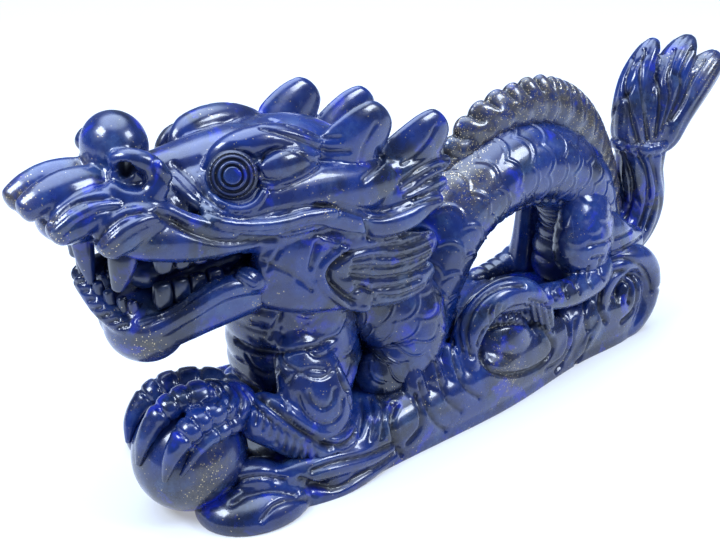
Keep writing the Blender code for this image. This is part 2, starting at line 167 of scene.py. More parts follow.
def pebble(centre, radii, net=(36, 32), tip=0):  # tip about Y in degrees
    ball, points = newBall(*net)
    a = math.radians(tip)
    tipped = np.array(((math.cos(a), 0, math.sin(a)), (0, 1, 0), (-math.sin(a), 0, math.cos(a))))
    writePoints(ball, points * np.asarray(radii, float) @ tipped.T + np.asarray(centre, float))
    return ball


def mirrorOf(obj):  # the same form on the right side, its faces turned back outwards
    twin = bpy.data.objects.new(obj.name, obj.data.copy())
    bpy.context.scene.collection.objects.link(twin)
    writePoints(twin, readPoints(twin) * np.array((1, -1, 1)))
    twin.data.flip_normals()
    return twin


def bothSides(forms):
    return forms + [mirrorOf(form) for form in forms]


def joinAs(name, forms):
    chooseOnly(forms)
    if len(forms) > 1:
        bpy.ops.object.join()
    obj = bpy.context.object
    obj.name = name
    obj.data.name = name
    return obj


def fuseAs(name, forms, values):  # forms melted into one skin of even faces
    obj = joinAs(name, forms)
    grid = obj.modifiers.new("Fuse", "REMESH")
    grid.mode = "VOXEL"
    grid.voxel_size = values["grain"] * mm
    bpy.ops.object.modifier_apply(modifier="Fuse")
    soft = obj.modifiers.new("Polish", "SMOOTH")
    soft.factor = 0.5
    soft.iterations = values["polish"]
    bpy.ops.object.modifier_apply(modifier="Polish")
    return obj


# Camera, and the rays it sends through the photograph's frame

cameraValues = {
    "spot": (-123.1, -139.4, 108.4),  # in mm from the frame's origin, as are the lights
    "tilt": 66.0,
    "turn": -37.0,
    "lens": 50.0,
    "sensor": 36.0,
    "frameWidth": 720,
    "frameHeight": 541,
}

cameraData = bpy.data.cameras.new("photoCamera")
cameraData.lens = cameraValues["lens"]
cameraData.sensor_width = cameraValues["sensor"]
cameraData.clip_start = 0.01
cameraData.clip_end = 10.0
camera = bpy.data.objects.new("photoCamera", cameraData)
camera.location = Vector(cameraValues["spot"]) * mm
camera.rotation_euler = (math.radians(cameraValues["tilt"]), 0.0, math.radians(cameraValues["turn"]))
bpy.context.scene.collection.objects.link(camera)
bpy.context.scene.camera = camera
bpy.context.view_layer.update()


def rayThrough(px, py):
    reach = cameraValues["lens"] / cameraValues["sensor"] * cameraValues["frameWidth"]
    aim = Vector((px - cameraValues["frameWidth"] / 2, cameraValues["frameHeight"] / 2 - py, -reach))
    return (camera.matrix_world.to_3x3() @ aim).normalized()


def sightLine(px, py):  # the same in the carver's frame, from the camera's place
    return np.array(camera.location) / mm - shiftToCentre, np.array(rayThrough(px, py))


def onSide(px, py, y):  # where the photograph's point falls on the upright plane at this Y
    start, aim = sightLine(px, py)
    return tuple(start + aim * ((y - start[1]) / aim[1]))


longestJump = 3.0
grazing = 0.12


def traced(obj, marks):  # points of a picture line laid on the piece
    marks = np.asarray(marks, float)
    steps = max(2, int(np.linalg.norm(np.diff(marks, axis=0), axis=1).sum() / 4))
    line = []
    for px, py in smoothRun(marks, np.linspace(0, 1, steps + 1)):
        aim = rayThrough(px, py)
        hit, spot, normal, face = obj.ray_cast(camera.location, aim)
        if hit and -normal.dot(aim) > grazing:  # not where the skin turns away at its edge
            line.append(np.array(spot) / mm - shiftToCentre)
    return np.array(line)


# Carving over a finished skin. A row is the tool's width and height in mm, below 0 for a cut and
# above 0 for a raised cord, and the picture lines that it follows. A single point is a round pit.
def carve(obj, cuts, mirror=False):
    bpy.context.view_layer.update()
    points = readPoints(obj)
    normals = readNormals(obj)
    rise = np.zeros(len(points))
    for width, height, *lines in cuts:
        for marks in lines:
            line = traced(obj, marks) if len(marks) > 1 else traced(obj, marks * 2)[:1]
            if len(line) == 0:
                continue
            for flip in ((1, -1) if mirror else (1,)):
                press(points, rise, width, height, line * np.array((1, flip, 1)))
    writePoints(obj, points + normals * rise[:, None])
    # painted shade: the deeper a cut, the darker its colour
    paint(obj, "grooveShade", np.maximum(readPaint(obj, "grooveShade"), (-rise - 0.1) / 0.8))


def press(points, rise, width, height, line):
    reach = width * 1.6
    near = np.all((points > line.min(0) - reach) & (points < line.max(0) + reach), axis=1)
    index = np.nonzero(near)[0]
    if len(index) == 0:
        return
    p = points[index]
    best = np.full(len(index), 1e9)
    if len(line) == 1:
        best = np.linalg.norm(p - line[0], axis=1)
    for a, b in zip(line, line[1:]):
        ab = b - a
        size = ab @ ab
        if size < 1e-8 or size > longestJump ** 2:  # a jump to another surface is left out
            continue
        u = np.clip(((p - a) @ ab) / size, 0, 1)
        best = np.minimum(best, np.linalg.norm(p - (a + u[:, None] * ab), axis=1))
    x = best / width
    if len(line) == 1:
        change = height * np.maximum(0, 1 - x ** 2)
    elif height < 0:
        change = height * np.maximum(0, 1 - x) ** 1.3
    else:
        foot = 0.35 * np.exp(-((x - 1.25) / 0.25) ** 2)
        change = height * (np.sqrt(np.maximum(0, 1 - x ** 2)) - foot)
    rise[index] += np.where(best < reach, change, 0)


# Reliefs that follow a form's own length and turn

def strands(count, depth, twist=0.0):  # rounded hairs with sharp cuts between them
    def relief(t, phi, s):
        return depth * (np.sqrt(np.abs(np.sin(phi * count / 2 + twist * t))) - 1)
    return relief


def bands(pitch, depth):  # rounded rings across a form
    def relief(t, phi, s):
        return depth * (np.sqrt(np.abs(np.sin(math.pi * s / pitch))) - 1)
    return relief


def scaledSkin(v):  # overlapping scales, and plates between two seams where there is a belly
    def relief(t, phi, s):
        row = np.floor(s / v["pitch"])
        skin = np.zeros_like(s)
        found = np.zeros(len(s), bool)
        step = 2 * math.pi / v["count"]
        for back in range(3, -2, -1):  # rows nearer the head lie on top of those after them
            k = row - back
            along = s - (k + 0.5) * v["pitch"]
            turn = phi / step - np.where(k % 2 == 0, 0.0, 0.5)
            away = np.hypot(along, (turn - np.round(turn)) * step * v["radius"])
            inside = (away < v["size"]) & (along > -0.35 * v["size"]) & ~found
            x = away / v["size"]
            dip = 0.55 * np.clip((x - 0.82) / 0.08, 0, 1) - 0.35 * np.clip((x - 0.72) / 0.1, 0, 1)
            proud = v["height"] * (0.25 + 0.75 * np.clip(along / v["size"], 0, 1) + dip)
            skin = np.where(inside, proud - v["edgeCut"] * np.clip((x - 0.9) / 0.1, 0, 1), skin)
            found |= inside
        skin = skin - v["height"] * 0.5
        if "bellyHalf" not in v:
            return skin
        belly = np.abs(phi + math.pi / 2)
        plates = 0.6 * (np.sqrt(np.abs(np.sin(math.pi * s / v["platePitch"]))) - 0.5)
        seam = np.exp(-((belly - v["bellyHalf"]) / 0.06) ** 2)
        return np.where(belly < v["bellyHalf"], plates, skin) - v["seamCut"] * seam
    return relief


# The material

def linear(hexCode):  # sRGB hex to the linear colour that a shader wants
    parts = [int(hexCode[i:i + 2], 16) / 255 for i in (1, 3, 5)]
    return tuple(c / 12.92 if c <= 0.04045 else ((c + 0.055) / 1.055) ** 2.4 for c in parts) + (1.0,)


# One node with its settings, where a socket among them is linked. Gives the node's output.
def addNode(tree, kind, settings, out=0):
    node = tree.nodes.new("ShaderNode" + kind)
    for key, value in settings.items():
        if isinstance(key, str) and hasattr(node, key):
            setattr(node, key, value)
        elif isinstance(value, bpy.types.NodeSocket):
            tree.links.new(value, node.inputs[key])
        else:
            node.inputs[key].default_value = value
    return node.outputs[out]


# Lapis lazuli, cut, ground and polished to a wet gloss. Lazurite gives a deep ultramarine that
# falls to navy in patches, pyrite gives brassy specks in clusters, calcite faint pale veins.
lapisLook = {
    "ultramarine": "#0d2868",
    "navy": "#091430",
    "violetBlue": "#111f50",
    # painted sheen: grey-blue patches in the base colour standing for hazy reflection
    "paintedSheen": "#3f5781",
    "vivid": "#12279a",
    "calcite": "#8fa0c8",
    "rust": "#47423d",
    # painted shade: the near-black mixed into cuts and hollows
    "paintedShade": "#040817",
    "pyrite": "#c4b18a",
    "patchSize": 14.0,  # sizes in mm
    "paintedSheenSize": 6.0,
    "vividSize": 7.0,
    "clusterSize": 9.0,
    "rustSize": 1.8,
    "mattSize": 4.0,
    "speckSize": 0.26,  # real specks are finer, drawn as coarse as it takes to show them
    "grainSize": 1.6,
    "fineGrainSize": 0.35,
    "grainHeight": 0.05,
    "bump": 0.35,
    "vein": 0.16,
    "rustCover": 0.92,
    # how much of the painted shade the deepest cuts take
    "paintedShadeCover": 0.85,
    "speckMetal": 0.6,
    "roughness": 0.24,
    "ior": 1.5,
    "coat": 0.5,
    "coatRoughness": 0.08,
}


def makeLapis():
    look = lapisLook
    material = bpy.data.materials.new("polishedLapisLazuli")
    material.use_nodes = True
    tree = material.node_tree
    shader = tree.nodes["Principled BSDF"]
    place = addNode(tree, "TexCoord", {}, "Object")
    # painted shade amount on each vertex, darker in cuts, the eyes, teeth and tongue
    grooveShade = addNode(tree, "Attribute", {"attribute_name": "grooveShade"}, "Fac")
    rust = addNode(tree, "Attribute", {"attribute_name": "rust"}, "Fac")
    eased = {"interpolation_type": "SMOOTHSTEP"}
    mixed = {"data_type": "RGBA"}
    product = {"operation": "MULTIPLY"}
    productAndSum = {"operation": "MULTIPLY_ADD"}

    def cloudy(size, detail, rough, warp=0.0):  # the settings of a noise of this size in mm
        return {"Vector": place, "Scale": 1 / (size * mm), "Detail": detail, "Roughness": rough,
                "Distortion": warp}

    def patches(noise, low, high, least=0.0, most=1.0):  # soft-edged patches of such a noise
        value = addNode(tree, "TexNoise", noise)
        return addNode(tree, "MapRange", {**eased, "Value": value, "From Min": low, "From Max": high,
                                          "To Min": least, "To Max": most})

    colour = linear(look["ultramarine"])
    for name, noise, low, high, most in (
            ("navy", cloudy(look["patchSize"], 4, 0.55, 0.6), 0.42, 0.62, 1),
            ("violetBlue", cloudy(look["patchSize"] * 0.6, 3, 0.5), 0.45, 0.7, 1),
            # painted sheen in random patches, mixed in at half strength
            ("paintedSheen", cloudy(look["paintedSheenSize"], 6, 0.7), 0.48, 0.72, 0.5),
            ("vivid", cloudy(look["vividSize"], 4, 0.6, 0.4), 0.56, 0.68, 0.8)):
        amount = patches(noise, low, high, 0.0, most)
        colour = addNode(tree, "Mix", {**mixed, 0: amount, 6: colour, 7: linear(look[name])}, 2)

    veins = addNode(tree, "TexNoise", cloudy(look["patchSize"] * 1.3, 2, 0.4, 0.3))
    veins = addNode(tree, "Math", {"operation": "SUBTRACT", 0: veins, 1: 0.5})
    veins = addNode(tree, "Math", {"operation": "ABSOLUTE", 0: veins})
    veins = addNode(tree, "MapRange", {**eased, "Value": veins, "From Min": 0.006, "From Max": 0.0,
                                       "To Max": look["vein"]})
    veinsHere = patches(cloudy(look["clusterSize"] * 2, 2, 0.5), 0.55, 0.7)
    veins = addNode(tree, "Math", {**product, 0: veins, 1: veinsHere})
    brown = patches(cloudy(look["rustSize"], 6, 0.75), 0.34, 0.62, 0.0, look["rustCover"])
    brown = addNode(tree, "Math", {**product, 0: rust, 1: brown})
    # painted shade: cuts and hollows darkened towards the near-black
    dark = addNode(tree, "Math", {**product, 0: grooveShade, 1: look["paintedShadeCover"]})
    for name, amount in (("calcite", veins), ("rust", brown), ("paintedShade", dark)):
        colour = addNode(tree, "Mix", {**mixed, 0: amount, 6: colour, 7: linear(look[name])}, 2)

    gap = addNode(tree, "TexVoronoi", {"Vector": place, "Scale": 1 / (look["speckSize"] * mm)}, "Distance")
    cell = addNode(tree, "SeparateColor", {"Color": gap.node.outputs["Color"]})
    wanted = patches(cloudy(look["clusterSize"], 5, 0.7, 0.5), 0.60, 0.74, 0.02, 0.52)
    wanted = addNode(tree, "Math", {**productAndSum, 0: rust, 1: 0.22, 2: wanted})
    wanted = addNode(tree, "Math", {"operation": "SUBTRACT", 0: wanted, 1: cell})
    wanted = addNode(tree, "MapRange", {**eased, "Value": wanted, "From Min": 0.0, "From Max": 0.02})
    specks = addNode(tree, "MapRange", {**eased, "Value": gap, "From Min": 0.42, "From Max": 0.3})
    specks = addNode(tree, "Math", {**product, 0: wanted, 1: specks})
    colour = addNode(tree, "Mix", {**mixed, 0: specks, 6: colour, 7: linear(look["pyrite"])}, 2)
    tree.links.new(colour, shader.inputs["Base Color"])
    metal = addNode(tree, "Math", {**product, 0: specks, 1: look["speckMetal"]})
    tree.links.new(metal, shader.inputs["Metallic"])

    smooth = look["roughness"]
    matt = patches(cloudy(look["mattSize"], 5, 0.65), 0.3, 0.75, smooth - 0.06, smooth + 0.14)
    matt = addNode(tree, "Math", {**productAndSum, 0: grooveShade, 1: 0.25, 2: matt})
    tree.links.new(matt, shader.inputs["Roughness"])
    shader.inputs["IOR"].default_value = look["ior"]
    shader.inputs["Coat Weight"].default_value = look["coat"]
    shader.inputs["Coat Roughness"].default_value = look["coatRoughness"]
    coarse = addNode(tree, "TexNoise", cloudy(look["grainSize"], 5, 0.6))
    fine = addNode(tree, "TexNoise", cloudy(look["fineGrainSize"], 2, 0.5))
    grain = addNode(tree, "Math", {**productAndSum, 0: fine, 1: 0.15, 2: coarse})
    bump = addNode(tree, "Bump", {"Height": grain, "Strength": look["bump"],
                                  "Distance": look["grainHeight"] * mm})
    tree.links.new(bump, shader.inputs["Normal"])
    print("polished lapis made")
    return material


lapis = makeLapis()


def finishPiece(obj, rust=None):  # material, smooth shading and the frame's records
    obj.data.materials.clear()
    obj.data.materials.append(lapis)
    obj.data.shade_smooth()
    for name in ("grooveShade", "rust"):
        if name not in obj.data.attributes:
            paint(obj, name, np.zeros(len(obj.data.vertices)))
    points = readPoints(obj)
    points[:, 2] = np.maximum(points[:, 2], 0)  # nothing below the flat underside
    writePoints(obj, points)
    if rust is not None:
        paint(obj, "rust", rust(points))
    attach(obj, "root")
    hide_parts("carved_dragon")
    print(obj.name, "made,", sum(len(f.vertices) - 2 for f in obj.data.polygons), "triangles")


def nearSpots(spots):  # 1 at each (place, radius), fading to 0 at its radius
    def amount(points):
        most = np.zeros(len(points))
        for place, radius in spots:
            gap = np.linalg.norm(points - np.asarray(place, float), axis=1)
            most = np.maximum(most, np.clip(1.4 * (1 - gap / radius), 0, 1))
        return most
    return amount


# Head: skull, nose, brows, lips, horns, hair and beard in one skin

headValues = {
    "grain": 0.375,  # size of its faces in mm, here and below
    "polish": 2,
    "brownAt": [((-52, -9, 52), 5), ((-60, 0, 61), 4), ((-72, 0, 58), 7), ((-69, -7, 55), 3.5),
                ((-64, -11, 52), 4)],
}


def makeHead():
    v = headValues
    petal = {"square": 1.7, "net": (60, 48)}
    horn = {"square": 1.8, "net": (50, 44)}
    middle = [
        pebble((-27, 0, 53), (16, 12, 11)),
        pebble((-64.4, -1, 54.2), (4.6, 6.6, 3.2)),
        lobe([(-64, 0, 55), (-60, 0, 51.8), (-54, 0, 50.6), (-46, 0, 50.6)], [4, 7, 8.5, 9],
             [2.6, 2.4, 2.2, 2.2]),
        lobe([(-20, 0, 54), (-34, 0, 55), (-46, 0, 54.6), (-60, 0, 55.5)],
             [11.5, 11, 9.6, 7.5], [9.4, 8.2, 5.8, 4.2]),
        lobe([(-30, 0, 60), (-40, 0, 60), (-50, 0, 59.6), (-56, 0, 60.5)], [6, 5.4, 3.6, 3],
             [4.4, 3.4, 2.2, 2]),
        pebble((-55.5, 0, 64), (5.1, 5.6, 5.4), net=(60, 60)),
        lobe([(-26, 0, 54), (-15, 0, 54), (-6, 0, 53), (-1, 0, 52)], [10.5, 10.5, 9.5, 7], [6, 5, 4, 2.5]),
    ]
    left = [
        # fanned petals over the upper lip
        lobe([(-54, -2, 58), (-63, -2.5, 59.6), (-68, -2.8, 59), (-72, -2.8, 57.4)],
             [2.8, 3.3, 3.1, 1.9], [3.2, 3.2, 2.8, 1.8], **petal),
        lobe([(-53, -6, 56.4), (-61.5, -6.6, 57.2), (-66, -7, 56.2), (-69.4, -7.2, 54.2)],
             [3, 3.5, 3.3, 1.9], [3, 3.1, 2.8, 1.7], side=(0, 0.9, 0.4), **petal),
        lobe([(-51, -8.5, 55), (-57.5, -9.8, 55.2), (-60.8, -10.3, 53.8), (-63.4, -10.3, 51.4)],
             [3.2, 3.4, 3.2, 1.9], [3.2, 3, 2.6, 1.6], side=(0, 0.7, 0.7), **petal),
        # cheek plane from the eye back to the hair
        lobe([(-47, -9, 53), (-38, -10.6, 51.5), (-28, -11.4, 52), (-17, -11.2, 52), (-8, -10.5, 52)],
             [3.5, 3.6, 3.6, 3.4, 2.4], [4, 6, 6.4, 5, 3.6]),
        pebble((-39.4, -7.6, 58.4), (4, 3.4, 4)),
        lobe([(-43, -6.2, 58.4), (-40.6, -7, 61.4), (-36, -7.6, 62.6), (-30.4, -8.3, 62.2),
              (-24, -9.5, 60)],
             [1.6, 2.6, 3, 3, 2.4], [1.6, 2.4, 2.8, 2.8, 2.2]),
        lobe([(-37.6, -11, 59.4), (-34, -12, 59.2), (-30, -12, 59.4), (-25.5, -11.4, 59.8)],
             [0.8, 2.6, 2.4, 0.6], [0.8, 1.7, 1.6, 0.6], side=(0, 0, 1)),
        lobe([(-61, -8.4, 53), (-56, -10.4, 51.6), (-50, -11.6, 50.6), (-44, -12.3, 50),
              (-37.5, -12.8, 49.2)],
             [2.2, 2.4, 2.4, 2.1, 1.3], [2.4, 2.9, 3.2, 2.9, 1.8]),
        # nostril wing and the muzzle under it
        lobe([(-58.6, -5, 63.2), (-56.4, -7.4, 64), (-53.6, -8.4, 62.4), (-53.2, -9, 59.6),
              (-55.4, -8.8, 57.8), (-58.2, -7.8, 58.4), (-60, -6.2, 60.4)],
             [1.5, 1.6, 1.8, 2, 2, 1.8, 1.3]),
        pebble((-55.6, -5.4, 60.8), (3.6, 2.4, 3)),
        # whisker in two runs
        lobe([(-53.5, -9.6, 56.6), (-49.5, -11.6, 53.6), (-44.2, -12.8, 52), (-34, -14, 50.4),
              (-26.7, -14.4, 50.2), (-18.6, -14.4, 46.6)],
             [1.2, 1.4, 1.4, 1.5, 1.6, 1.7], [1.2, 1.5, 1.6, 1.8, 1.9, 2], square=2.6),
        lobe([(-20, -14, 47.4), (-14.5, -14.6, 46), (-9, -14.6, 46.2), (-4.6, -14.2, 47.6),
              (-1.2, -13.8, 47.6)],
             [1.6, 1.7, 1.7, 1.5, 1.2], [1.9, 2, 2, 1.7, 1.2], square=2.6),
        # horns, flat leaves with a bevel on the rear edge
        lobe([(-23.5, -8.2, 54), (-19.2, -9.8, 58.6), (-14.4, -10.5, 62.6), (-11.6, -10.5, 65.2)],
             [6.2, 6, 4.8, 2.8], [3, 2.6, 2.1, 1.3], side=(1, 0, -0.8), **horn),
        lobe([(-12, -8.8, 50.4), (-6.6, -10.2, 55), (-1.6, -10.7, 59), (1.6, -10.6, 61.6)],
             [6.4, 5.8, 4.6, 2.6], [3, 2.5, 2, 1.3], side=(1, 0, -1), **horn),
        # hair behind the horns
        lobe([(-16, -10.5, 53), (-9, -11.6, 52.6), (-3, -11.8, 52.8), (2.8, -11.2, 53.6)],
             [1.8, 2, 1.8, 0.9], [3.4, 3.4, 2.6, 1]),
        lobe([(-18, -11.5, 50), (-10, -12.2, 49.6), (-3, -12.2, 49.4), (1.8, -11.6, 49.8)],
             [1.8, 2, 1.8, 0.9], [3.4, 3.2, 2.4, 1]),
        # cheek, jaw corner and the beard swept back from it
        lobe([(-38.4, -10.8, 44.6), (-30, -11.8, 42.6), (-20, -12.4, 42), (-10, -12.2, 43)],
             [2.6, 3, 3, 2.4], [5.6, 7, 6.5, 5]),
        lobe([(-38, -10.8, 40), (-30, -12.2, 38), (-23, -13, 36), (-17.6, -13.4, 33)],
             [2.4, 2.8, 2.6, 1.8], [4, 5, 4.4, 2.4]),
        pebble((-18.6, -13.4, 33.4), (3, 2.2, 3)),
        lobe([(-22, -12, 41), (-13, -12.6, 39), (-5, -12, 38), (0, -11, 39)],
             [2.4, 2.6, 2.2, 1], [4.6, 4.6, 3.6, 1.6]),
        lobe([(-20, -11.6, 35), (-12, -12.2, 33), (-5, -11.6, 32), (0, -10.6, 33)],
             [2.4, 2.6, 2.2, 1], [4, 4, 3.2, 1.4]),
    ]
    head = fuseAs("headAndMane", middle + bothSides(left), v)
    carve(head, headCuts, mirror=True)
    finishPiece(head, nearSpots(v["brownAt"]))


headCuts = [
    # pits for the nostril and the eye
    (1.6, -2.4, [(126, 169)]),
    (5.4, -1, [(230, 176)]),
    # seams and crests of the petals
    (0.7, 0.4, [(56, 232), (76, 216), (98, 206), (118, 204)],
     [(104, 250), (120, 234), (140, 222), (158, 218)]),
    (0.7, -0.7, [(50, 222), (66, 208), (84, 200), (104, 198)],
     [(92, 246), (104, 230), (122, 216), (142, 212)]),
    # eye socket, lids and brow
    (0.7, 0.45, [(203, 175), (212, 193), (225, 204), (242, 209), (256, 204), (264, 192)]),
    (0.7, 0.5, [(258, 176), (262, 183), (273, 185), (284, 182), (298, 176), (309, 170), (316, 164)]),
    (0.5, -0.5, [(261, 162), (265, 154), (276, 149), (291, 150), (304, 155), (316, 164)]),
    (0.7, -0.6, [(262, 128), (285, 135), (310, 144), (328, 151), (350, 151)]),
    (0.6, -0.4, [(270, 119), (295, 128), (320, 137), (340, 138)]),
    # the band from the nose over the cheek, with its cut lines
    (0.9, 0.5, [(160, 165), (182, 191), (209, 215), (240, 225), (276, 224), (304, 216), (334, 212)]),
    (0.5, -0.4, [(209, 213), (239, 219), (279, 210), (316, 205), (338, 207)],
     [(330, 200), (367, 210), (385, 210), (404, 203), (422, 196), (446, 192)],
     [(378, 245), (404, 242), (425, 234), (442, 226)]),
    (0.7, -0.7, [(316, 205), (338, 207), (367, 216), (385, 216), (404, 209), (422, 202), (449, 198)]),
    (1.1, -1, [(160, 214), (193, 232), (227, 242), (277, 240)]),
    (0.7, -0.5, [(174, 163), (190, 178), (206, 196), (224, 209)]),
    (0.6, -0.6, [(240, 237), (276, 237), (300, 230), (318, 227), (340, 232), (364, 236)],
     [(369, 239), (385, 240), (404, 235), (422, 226), (440, 216)]),
    (0.7, -0.8, [(365, 219), (368, 228), (369, 237)]),
    # folds of the cheek
    (0.8, -0.7, [(318, 241), (314, 255), (311, 268)]),
    (0.6, 0.4, [(317, 239), (331, 243), (349, 250)]),
    (0.6, -0.5, [(280, 250), (274, 260), (268, 270)], [(262, 262), (280, 268), (298, 278), (312, 290)]),
    (1.2, -1.4, [(349, 254), (338, 262), (330, 271), (332, 283), (342, 294), (352, 303)]),
    (0.9, 0.5, [(344, 250), (330, 260), (322, 272), (326, 286), (340, 300), (356, 308), (374, 309)]),
    (0.7, -0.7, [(352, 296), (358, 289), (368, 288), (375, 294), (374, 303)]),
    # horns: bevels and the hollow between them
    (0.5, -0.35, [(360, 164), (362, 150), (369, 136), (376, 124)],
     [(402, 164), (416, 154), (428, 141), (436, 126)]),
    (0.9, -0.5, [(378, 150), (382, 160), (374, 170), (364, 180)]),
    # hair strands behind the horns
    (0.7, -0.6, [(402, 182), (420, 168), (438, 158), (450, 160)]),
    (0.6, -0.6, [(402, 189), (420, 177), (438, 167), (451, 166)],
     [(404, 196), (422, 186), (438, 176), (451, 173)]),
    (0.6, -0.5, [(414, 200), (430, 192), (442, 185), (450, 181)]),
    # beard strands
    (0.7, -0.6, [(349, 254), (366, 249), (385, 247), (410, 244), (428, 236)],
     [(352, 268), (372, 267), (392, 267), (412, 262), (430, 254)],
     [(356, 284), (376, 288), (398, 286), (420, 279)]),
    (0.6, -0.6, [(354, 261), (374, 257), (394, 257), (415, 252), (432, 244)],
     [(350, 275), (368, 278), (390, 277), (412, 272), (428, 264)],
     [(380, 296), (396, 297), (412, 292), (424, 286)]),
]


# Eyes with cut rings

eyeValues = {
    "centre": (-41.1, -10.2, 59.0),
    "aim": (-0.46, -0.84, 0.32),
    "radius": 4.0,
    "depth": 2.3,
    "pupil": 1.35,
    "rings": [  # distance from the middle, height and width
        (1.55, -0.45, 0.16), (2.05, 0.18, 0.22), (2.5, -0.45, 0.2), (2.95, 0.15, 0.2), (3.3, -0.3, 0.12)],
    "beads": 34,
    "beadRing": 3.5,
}


def makeEyes():
    v = eyeValues
    ball, points = newBall(120, 120)
    x, y, z = points.T
    front = z > 0
    r = np.sqrt(x ** 2 + y ** 2) * v["radius"]
    turn = np.arctan2(y, x)
    bulge = np.sqrt(np.clip(1 - (r / v["radius"]) ** 2, 0, 1))
    dome = v["depth"] * np.where(front, 0.75 * bulge, z)
    ringLift = 0.35 * (r < v["pupil"])
    for place, height, width in v["rings"]:
        ringLift = ringLift + height * np.exp(-((r - place) / width) ** 2)
    ringLift += 0.12 * np.sin(turn * v["beads"]) * np.exp(-((r - v["beadRing"]) / 0.14) ** 2)
    dome = dome + np.where(front, ringLift, 0)
    aim = unit(np.array(v["aim"]))
    right = unit(np.cross((0, 0, 1.0), aim))
    up = np.cross(aim, right)
    flat = v["radius"] * (np.outer(x, right) + np.outer(y, up))
    writePoints(ball, np.array(v["centre"]) + flat + np.outer(dome, aim))
    # painted shade: the eye darkened in its cut rings and outer part, less where rings stand proud
    paint(ball, "grooveShade", np.where(front, np.clip(0.5 + 0.3 * (r > 2.2) - ringLift / 0.5, 0, 1), 0))
    finishPiece(joinAs("eyes", [ball, mirrorOf(ball)]))


# Jaw, tongue and teeth

jawValues = {"grain": 0.34, "polish": 2, "tongueShade": 0.5}


def makeJaw():
    v = jawValues
    forms = [
        lobe([(-29, 0, 41), (-40, 0, 38), (-50, 0, 35.2), (-60.5, 0, 36.5)],
             [9.5, 10, 9, 5.5], [5, 5, 5.6, 4.6], square=2.3),
        lobe([(-35, -11, 40), (-44, -11.3, 41), (-51, -10.2, 38.4), (-57, -7.8, 36),
              (-60.6, -2.8, 38.6), (-62.3, 3, 43.2)], [2.2, 1.9, 1.8, 1.9, 1.9, 1.6], net=(60, 28)),
        lobe([(-62.3, 3, 43.2), (-58.4, 7.4, 42), (-50, 10.4, 41), (-36, 11, 40.5)],
             [1.5, 1.7, 1.8, 2.2], [1.5, 1.9, 2.2, 2.6]),
        lobe([(-36, 9, 38), (-48, 8.5, 37.5), (-58, 5, 38)], [2.6, 2.6, 2.4], [3.6, 3.8, 3.6]),
        pebble((-54.6, -3, 34.8), (6.6, 7.4, 6.2), net=(50, 50)),
        lobe([(-36, -9.6, 38.4), (-46, -9.6, 37.6), (-54, -7.6, 35)], [2.6, 2.8, 2.6], [3.6, 3.8, 3.6]),
        lobe([(-32, 0, 45), (-44, 0, 42.5), (-54, 0, 40.5)], [7.5, 7.5, 4.5], [4.5, 3.4, 2]),
        pebble((-39.6, -11.8, 41.6), (3, 2.2, 1.9), tip=35),
        pebble((-39.6, 11.8, 41.6), (3, 2.2, 1.9), tip=35),
    ]
    jaw = fuseAs("lowerJaw", forms, v)
    carve(jaw, jawCuts)
    finishPiece(jaw, nearSpots([((-57, -9, 34), 4)]))
    tongue = [
        lobe([(-40, -1, 43.5), (-47, -1.5, 44.2), (-52, -2, 43)], [4.5, 4.4, 3.2], [2.2, 2.4, 2]),
        pebble((-53.5, -2.5, 43.4), (3.2, 3.4, 2.6)),
    ]
    tongue = joinAs("tongue", tongue)
    paint(tongue, "grooveShade", np.full(len(tongue.data.vertices), v["tongueShade"]))
    finishPiece(tongue)


lipNotches = [(74, 284), (78, 293), (84, 302), (91, 310), (99, 317), (108, 323), (118, 328)]
jawCuts = [
    (0.6, 0.4, [(140, 322), (168, 312), (192, 296), (216, 280)]),
    (0.7, 0.4, [(228, 270), (241, 275), (254, 284)]),
] + [(0.5, -0.7, [(x, y), (x + 9, y - 3)]) for x, y in lipNotches]


teethValues = {"cheekTeeth": 4, "cheekPitch": 3.1, "frontTeeth": 6, "shade": 0.3}


def makeTeeth():
    v = teethValues
    cheek = {"square": 3.2, "net": (24, 24)}
    left = [
        lobe([(-59, -8.2, 51.5), (-59.8, -8.3, 47.5), (-60.8, -8.1, 44)], [3, 2.4, 0.9], [2.6, 2, 0.8],
             square=1.8),
    ]
    for k in range(v["cheekTeeth"]):  # upper and lower cheek teeth, set back in the gum
        x = -53.5 + v["cheekPitch"] * k
        left += [
            lobe([(x, -8, 39), (x, -8.1, 41.8), (x, -8, 43.6)], [1.3, 1.3, 1], [1.5, 1.5, 1.2], **cheek),
            lobe([(x, -9.2, 51), (x, -9.4, 48), (x, -9.3, 45.6)], [1.4, 1.4, 1], [1.5, 1.5, 1.1], **cheek),
        ]
    forms = bothSides(left)
    forms.append(lobe([(-62.5, -0.5, 55), (-62.3, -0.5, 48), (-61.6, -0.3, 42.6)],
                      [2.2, 1.7, 0.6], [2.2, 1.6, 0.6], square=1.7))
    rim = [(-57.6, -6.2, 38.4), (-60.6, -2.2, 40.2), (-61.8, 2.6, 44.0)]
    for t in np.linspace(0.02, 0.98, v["frontTeeth"]):  # square front teeth behind the lower lip
        x, y, z = smoothRun(rim, np.array([t]))[0]
        forms.append(lobe([(x + 0.4, y, z - 1.6), (x, y, z + 1), (x - 0.2, y, z + 2.6)], [0.85, 0.85, 0.7],
                          [0.9, 0.9, 0.7], square=3.2, net=(20, 20)))
    teeth = joinAs("teeth", forms)
    paint(teeth, "grooveShade", np.full(len(teeth.data.vertices), v["shade"]))
    finishPiece(teeth)


# Neck, chest, shoulder and forelegs in one skin

neckPath = [(-14, 0, 50), (-21.5, 0, 41), (-24.5, 0, 29), (-23, 0, 15), (-16, 0, 9)]
chestValues = {
    "grain": 0.42,
    "polish": 2,
    "radius": 11.5,
    "pitch": 3.9,
    "count": 9,
    "size": 4.6,
    "height": 0.6,
    "edgeCut": 0.0,
    "bellyHalf": 0.8,
    "platePitch": 2.7,
    "seamCut": 0.7,
}


